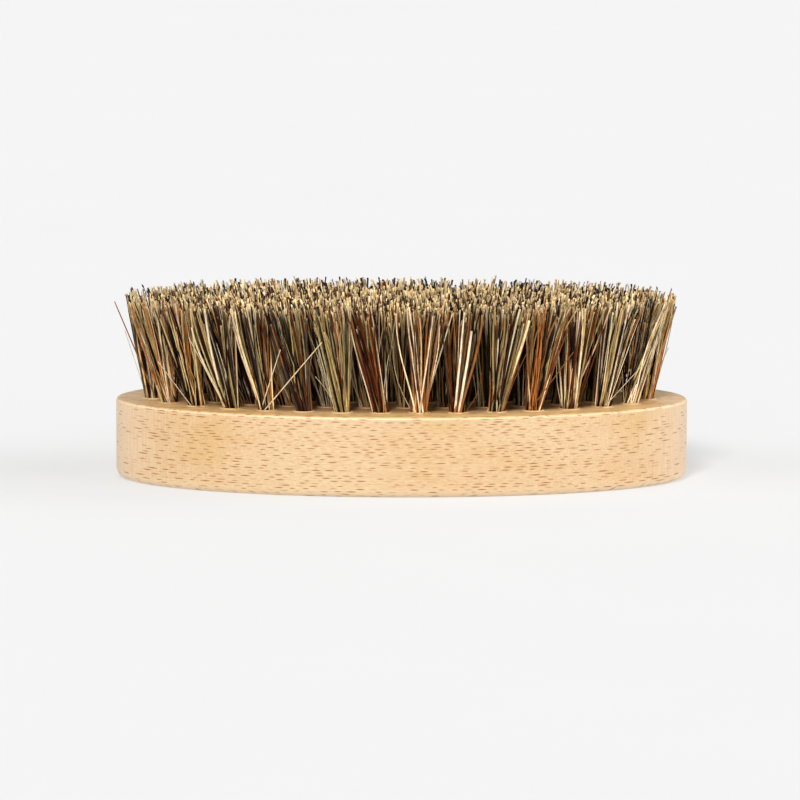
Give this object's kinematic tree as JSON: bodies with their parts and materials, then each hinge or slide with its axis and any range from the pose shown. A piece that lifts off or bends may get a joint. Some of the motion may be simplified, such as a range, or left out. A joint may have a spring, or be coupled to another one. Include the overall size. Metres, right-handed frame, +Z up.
{
  "type": "beard brush",
  "caption": "Oval palm-held beard brush: a beech block with leaning tufts of natural bristle, trimmed level, each held in a blind bore by a flat wire anchor.",
  "frame": {"origin": "centre of the block's flat underside, which the brush stands on", "axes": "+X along the block's length, +Y across its width, +Z up through the bristles"},
  "size_m": [0.0862, 0.047, 0.028],
  "materials": {
    "beech": "satin",
    "bristle": "satin",
    "anchor_wire": "satin"
  },
  "bodies": {
    "root": {"block": "beech", "anchors": "anchor_wire", "tuft_outer_01": "bristle", "tuft_outer_02": "bristle", "tuft_outer_03": "bristle", "tuft_outer_04": "bristle", "tuft_outer_05": "bristle", "tuft_outer_06": "bristle", "tuft_outer_07": "bristle", "tuft_outer_08": "bristle", "tuft_outer_09": "bristle", "tuft_outer_10": "bristle", "tuft_outer_11": "bristle", "tuft_outer_12": "bristle", "tuft_outer_13": "bristle", "tuft_outer_14": "bristle", "tuft_outer_15": "bristle", "tuft_outer_16": "bristle", "tuft_outer_17": "bristle", "tuft_outer_18": "bristle", "tuft_outer_19": "bristle", "tuft_outer_20": "bristle", "tuft_outer_21": "bristle", "tuft_outer_22": "bristle", "tuft_outer_23": "bristle", "tuft_outer_24": "bristle", "tuft_outer_25": "bristle", "tuft_outer_26": "bristle", "tuft_outer_27": "bristle", "tuft_outer_28": "bristle", "tuft_outer_29": "bristle", "tuft_outer_30": "bristle", "tuft_outer_31": "bristle", "tuft_middle_01": "bristle", "tuft_middle_02": "bristle", "tuft_middle_03": "bristle", "tuft_middle_04": "bristle", "tuft_middle_05": "bristle", "tuft_middle_06": "bristle", "tuft_middle_07": "bristle", "tuft_middle_08": "bristle", "tuft_middle_09": "bristle", "tuft_middle_10": "bristle", "tuft_middle_11": "bristle", "tuft_middle_12": "bristle", "tuft_middle_13": "bristle", "tuft_middle_14": "bristle", "tuft_middle_15": "bristle", "tuft_middle_16": "bristle", "tuft_middle_17": "bristle", "tuft_middle_18": "bristle", "tuft_middle_19": "bristle", "tuft_middle_20": "bristle", "tuft_middle_21": "bristle", "tuft_middle_22": "bristle", "tuft_middle_23": "bristle", "tuft_middle_24": "bristle", "tufts_inner_left": "bristle", "tufts_inner_right": "bristle", "tufts_centre_row": "bristle"}
  },
  "joints": []
}
